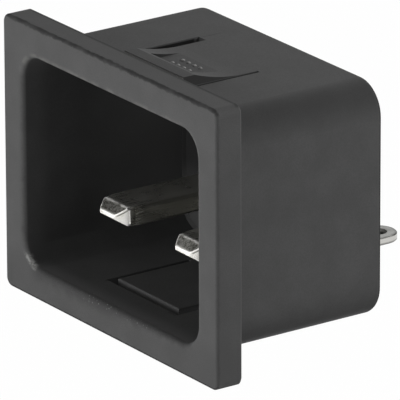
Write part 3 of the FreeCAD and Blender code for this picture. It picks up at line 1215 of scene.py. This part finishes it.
@dataclass
class Housing:
    """The moulding, and the raised pips on the finger pad of its upper latch; lengths in metres."""

    finish: MouldedPlastic = field(default_factory=MouldedPlastic)
    pip_finish: HighlitPips = field(default_factory=HighlitPips)
    node_name: str = "housing"
    slot_name: str = "housing_plastic"
    pip_columns: int = 4
    pip_rows: int = 2
    pip_pitch: float = 0.98 * MM
    pip_row_gap: float = 1.25 * MM
    pip_radius: float = 0.24 * MM
    pip_height: float = 0.16 * MM
    pip_sink: float = 0.03 * MM
    pip_middle: Triple = (0.6 * MM, 5.85 * MM, 12.21 * MM)
    pip_segments: int = 16
    pip_rings: int = 10

    def dress(self, frame: Mapping[str, Any]) -> bpy.types.Material:
        """Dresses the moulding.


        Returns:
            The plastic.
        """
        material = self.finish.material()
        dress_node(frame["nodes"][self.node_name], material)
        return material

    def build_pips(self) -> bpy.types.Object:
        """Builds the raised pips as one mesh.

        Returns:
            The finished piece.
        """
        sizes = {
            "Columns": ("NodeSocketInt", self.pip_columns),
            "Rows": ("NodeSocketInt", self.pip_rows),
            "Pitch": ("NodeSocketFloat", self.pip_pitch),
            "Row Gap": ("NodeSocketFloat", self.pip_row_gap),
            "Radius": ("NodeSocketFloat", self.pip_radius),
            "Height": ("NodeSocketFloat", self.pip_height + self.pip_sink),
        }
        tree = bpy.data.node_groups.new("pip_grid", "GeometryNodeTree")
        values = {}
        for name, (kind, value) in sizes.items():
            socket = tree.interface.new_socket(name, in_out="INPUT", socket_type=kind)
            values[socket.identifier] = value
        tree.interface.new_socket("Geometry", in_out="OUTPUT", socket_type="NodeSocketGeometry")
        self._wire_pips(Bench(tree))
        piece = plain_mesh("latch_pips", tree, values)
        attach(piece, RECORD_BODY)
        return piece

    def _wire_pips(self, bench: Bench) -> None:
        """Wires up the tree of the pips: flattened balls on the points of a grid.

        Args:
            bench: The tree's bench; the tree has its sockets.
        """
        given = bench.add("NodeGroupInput").socket.node.outputs
        columns, rows = Wire(bench, given["Columns"]), Wire(bench, given["Rows"])
        pitch, row_gap = Wire(bench, given["Pitch"]), Wire(bench, given["Row Gap"])
        radius, height = Wire(bench, given["Radius"]), Wire(bench, given["Height"])

        grid = {
            "Size X": pitch * (columns - 1.0),
            "Size Y": row_gap * (rows - 1.0),
            "Vertices X": columns,
            "Vertices Y": rows,
        }
        points = bench.add("GeometryNodeMeshGrid", None, grid)
        x, y, z = self.pip_middle
        moved = {"Geometry": points, "Translation": (x, y, z - self.pip_sink)}
        points = bench.add("GeometryNodeTransform", None, moved)
        rounds = {"Segments": self.pip_segments, "Rings": self.pip_rings, "Radius": radius}
        ball = bench.add("GeometryNodeMeshUVSphere", None, rounds)
        flat = bench.add("ShaderNodeCombineXYZ", None, {"X": 1.0, "Y": 1.0, "Z": height / radius})
        pip = bench.add("GeometryNodeTransform", None, {"Geometry": ball, "Scale": flat})
        pip = bench.add("GeometryNodeSetShadeSmooth", None, {"Geometry": pip})
        placed = bench.add("GeometryNodeInstanceOnPoints", None, {"Points": points, "Instance": pip})
        real = bench.add("GeometryNodeRealizeInstances", None, {"Geometry": placed})
        dressed = {"Geometry": real, "Material": self.pip_finish.material()}
        done = bench.add("GeometryNodeSetMaterial", None, dressed)
        bench.add("NodeGroupOutput", None, {"Geometry": done})


@dataclass
class Pins:
    """The two contact pins, whose blades get round shoulders behind their tips; lengths in metres."""

    finish: NickelPlate = field(default_factory=NickelPlate)
    slot_name: str = "pin_plating"
    shoulder_cuts: int = 24
    merge_distance: float = 0.001 * MM
    sharp_angle: float = 32.0

    def build(self, frame: Mapping[str, Any]) -> list[bpy.types.Object]:
        """Builds both pins from the frame's own and plates them.


        Returns:
            The finished pieces.
        """
        material = self.finish.material()
        pieces = []
        for pole in Pole:
            node = frame["nodes"][pole.pin_node]
            piece = self._piece(node, f"{pole.value}_blade", self.finish.blade.across * MM * pole.side)
            piece.data.materials.clear()
            piece.data.materials.append(material)
            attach(piece, RECORD_BODY)
            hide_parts(pole.pin_node)
            pieces.append(piece)
        return pieces

    def _piece(self, node: bpy.types.Object, name: str, middle: float) -> bpy.types.Object:
        """Copies a pin of the frame, rounds its shoulders and evens out its shading.

        Args:
            node: The frame's pin.
            name: The new piece's name.
            middle: Where the blade's middle is, sideways.

        Returns:
            The new piece.
        """
        work = bmesh.new()
        work.from_mesh(node.data)
        bmesh.ops.remove_doubles(work, verts=work.verts[:], dist=self.merge_distance)
        self._round_shoulders(work, middle)
        mesh = bpy.data.meshes.new(name)
        work.to_mesh(mesh)
        work.free()
        mesh.polygons.foreach_set("use_smooth", [True] * len(mesh.polygons))
        mesh.set_sharp_from_angle(angle=math.radians(self.sharp_angle))
        piece = bpy.data.objects.new(name, mesh)
        bpy.context.scene.collection.objects.link(piece)
        even = piece.modifiers.new("even_shading", "WEIGHTED_NORMAL")
        even.keep_sharp = True
        return settled(piece, even)

    def _round_shoulders(self, work: bmesh.types.BMesh, middle: float) -> None:
        """Cuts a pin across behind its tip and draws the cuts in to a round outline.

        Args:
            work: The pin's mesh, which is changed.
            middle: Where the blade's middle is, sideways.
        """
        tip, length = self.finish.blade.tip * MM, self.finish.blade.shoulder_run * MM
        cuts = self.shoulder_cuts
        steps = [tip + length * number / cuts for number in range(cuts + 1)]
        for step in steps[1:]:
            whole = work.verts[:] + work.edges[:] + work.faces[:]
            bmesh.ops.bisect_plane(work, geom=whole, plane_co=(0.0, step, 0.0), plane_no=(0.0, 1.0, 0.0))
        widths = []
        for step in steps:
            ring = [vertex for vertex in work.verts if abs(vertex.co.y - step) < self.merge_distance]
            widths.append(max(abs(vertex.co.x - middle) for vertex in ring))
        for vertex in work.verts:
            run = max(vertex.co.y - tip, 0.0)
            if run < length:
                number, share = divmod(run / length * cuts, 1.0)
                width = (1.0 - share) * widths[int(number)] + share * widths[int(number) + 1]
                vertex.co.x = middle + (vertex.co.x - middle) * min(self._round_width(run) / width, 1.0)

    def _round_width(self, run: float) -> float:
        """Finds the blade's width between its round shoulders.

        Args:
            run: The distance behind the tip.

        Returns:
            Half the width there.
        """
        blade = self.finish.blade
        radius = blade.shoulder_radius * MM
        to_shoulder = max(blade.shoulder_run * MM - run, 0.0)
        return blade.half_width * MM - radius + math.sqrt(radius**2 - to_shoulder**2)


@dataclass
class SolderLugs:
    """The two lugs behind the back wall."""

    finish: TinPlate = field(default_factory=TinPlate)

    def dress(self, frame: Mapping[str, Any]) -> None:
        """Plates both lugs of the frame.
        """
        material = self.finish.material()
        for pole in Pole:
            dress_node(frame["nodes"][pole.lug_node], material)


def view_direction(azimuth: float, elevation: float) -> Vector:
    """Unit vector from the part towards a viewer or a lamp.

    Args:
        azimuth: Degrees round from the front, towards the right.
        elevation: Degrees above the horizon.

    Returns:
        The direction in the frame.
    """
    turn, rise = math.radians(azimuth), math.radians(elevation)
    return Vector((math.sin(turn) * math.cos(rise), -math.cos(turn) * math.cos(rise), math.sin(rise)))


@dataclass(frozen=True)
class Softbox:
    """A square soft lamp aimed at the middle of the part; angles in degrees, lengths in metres."""

    name: str
    azimuth: float
    elevation: float
    level: float
    distance: float = 0.5
    size: float = 0.3
    aim: Triple = (0.0, 0.006, 0.0)

    def place(self) -> None:
        """Hangs the lamp, out of the camera's sight."""
        lamp = bpy.data.lights.new(self.name, "AREA")
        lamp.shape = "SQUARE"
        lamp.size = self.size
        # An area lamp of this power gives a facing white surface the wanted level.
        lamp.energy = self.level * math.pi**2 * self.distance**2
        lamp_object = bpy.data.objects.new(self.name, lamp)
        towards = view_direction(self.azimuth, self.elevation)
        lamp_object.location = Vector(self.aim) + self.distance * towards
        lamp_object.rotation_euler = towards.to_track_quat("Z", "Y").to_euler()
        lamp_object.visible_camera = False
        bpy.context.scene.collection.objects.link(lamp_object)


@dataclass
class Studio:
    """A white studio: soft lamps, a pale floor well below the part and a white surround; in metres."""

    ambient: float = 0.1
    ceiling: float = 0.25
    ceiling_rise: Span = (0.3, 0.85)
    floor_level: float = -0.055
    floor_half_size: float = 1.6
    floor_colour: Colour = (0.86, 0.86, 0.86)
    floor_glow: float = 0.98
    lamps: tuple[Softbox, ...] = (
        Softbox("left_softbox", azimuth=-25.0, elevation=5.0, level=0.4),
        Softbox("front_softbox", azimuth=0.0, elevation=5.0, level=0.78),
        Softbox("rear_softbox", azimuth=144.0, elevation=30.0, level=0.9),
        Softbox("left_rear_softbox", azimuth=215.0, elevation=40.0, level=0.14),
    )

    def build(self) -> None:
        """Sets up the lamps, the floor, the surround and the colour transform."""
        for lamp in self.lamps:
            lamp.place()
        self._floor()
        self._surround()
        bpy.context.scene.view_settings.view_transform = "Standard"

    def _rays(self, bench: Bench) -> tuple[Wire, Wire]:
        """Tells the rays apart that show the background itself.

        Args:
            bench: The bench of a material or of the world.

        Returns:
            1 for a ray from the camera, and 1 for one in a reflection or through glass.
        """
        paths = bench.add("ShaderNodeLightPath").socket.node.outputs
        glossy, clear = Wire(bench, paths["Is Glossy Ray"]), Wire(bench, paths["Is Transmission Ray"])
        return Wire(bench, paths["Is Camera Ray"]), glossy.most(clear)

    def _floor(self) -> None:
        """Lays the floor, which is see-through from below."""
        half, level = self.floor_half_size, self.floor_level
        outline = [(-half, -half, level), (half, -half, level), (half, half, level), (-half, half, level)]
        mesh = bpy.data.meshes.new("studio_floor")
        mesh.from_pydata(outline, [], [(0, 1, 2, 3)])
        material, bench = new_material("studio_floor")
        camera, mirrored = self._rays(bench)
        matt = bench.add("ShaderNodeBsdfDiffuse", None, {"Color": opaque(self.floor_colour)})
        glow = bench.add("ShaderNodeEmission", None, {"Color": opaque(WHITE), "Strength": 1.0})
        shown = camera.most(mirrored) * self.floor_glow
        white = bench.add("ShaderNodeMixShader", None, {0: shown, 1: matt, 2: glow})
        under = bench.add("ShaderNodeNewGeometry", output="Backfacing")
        clear = bench.add("ShaderNodeBsdfTransparent")
        both = bench.add("ShaderNodeMixShader", None, {0: under, 1: white, 2: clear})
        bench.add("ShaderNodeOutputMaterial", None, {"Surface": both})
        mesh.materials.append(material)
        floor = bpy.data.objects.new("studio_floor", mesh)
        bpy.context.scene.collection.objects.link(floor)

    def _surround(self) -> None:
        """Makes the world white to look at, with a darker ceiling in reflections, and dim as a light."""
        world = bpy.data.worlds.new("white_surround")
        world.use_nodes = True
        bpy.context.scene.world = world
        bench = Bench(world.node_tree)
        camera, mirrored = self._rays(bench)
        height = bench.split(bench.add("ShaderNodeTexCoord", output="Generated"))[2]
        overhead = 1.0 - (1.0 - self.ceiling) * height.ramp(self.ceiling_rise)
        lit = (1.0 - camera) * (1.0 - mirrored) * self.ambient
        level = camera + (1.0 - camera) * (mirrored * overhead) + lit
        glow = bench.add("ShaderNodeBackground", None, {"Color": opaque(WHITE), "Strength": level})
        bench.add("ShaderNodeOutputWorld", None, {"Surface": glow})


@dataclass(frozen=True)
class PhotoCamera:
    """A distant camera with a long lens; in degrees and metres, its lens and sensor in millimetres."""

    azimuth: float = 55.153
    elevation: float = 19.832
    roll: float = -0.203
    right: float = 6.437 * MM
    rise: float = -0.593 * MM
    distance: float = 723.54 * MM
    lens: float = 668.1
    sensor: float = 36.0
    nearest: float = 0.05
    farthest: float = 10.0

    def place(self) -> None:
        """Sets up the scene's camera."""
        back = view_direction(self.azimuth, self.elevation)
        turn, roll = math.radians(self.azimuth), math.radians(self.roll)
        level = Vector((math.cos(turn), math.sin(turn), 0.0))
        upright = back.cross(level)
        right = level * math.cos(roll) + upright * math.sin(roll)
        up = upright * math.cos(roll) - level * math.sin(roll)
        lens = bpy.data.cameras.new("photo_camera")
        lens.lens = self.lens
        lens.sensor_width = self.sensor
        lens.clip_start = self.nearest
        lens.clip_end = self.farthest
        camera = bpy.data.objects.new("photo_camera", lens)
        turned = Matrix((right, up, back)).transposed().to_4x4()
        place = right * self.right + up * self.rise + back * self.distance
        camera.matrix_world = Matrix.Translation(place) @ turned
        bpy.context.scene.collection.objects.link(camera)
        bpy.context.scene.camera = camera


def main() -> None:
    """Builds the scene in order."""
    logging.basicConfig(level=logging.INFO, format="%(name)s: %(message)s")
    for leftover in list(bpy.data.objects):
        bpy.data.objects.remove(leftover)
    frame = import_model()

    housing = Housing()
    plastic = housing.dress(frame)
    LOG.info("housing dressed in %s", plastic.name)
    pips = housing.build_pips()
    LOG.info("%s built with %d faces", pips.name, len(pips.data.polygons))
    for pin in Pins().build(frame):
        LOG.info("%s built with %d faces", pin.name, len(pin.data.polygons))
    SolderLugs().dress(frame)
    LOG.info("solder lugs plated")
    Studio().build()
    PhotoCamera().place()
    LOG.info("studio and camera set")


if __name__ == "__main__":
    main()
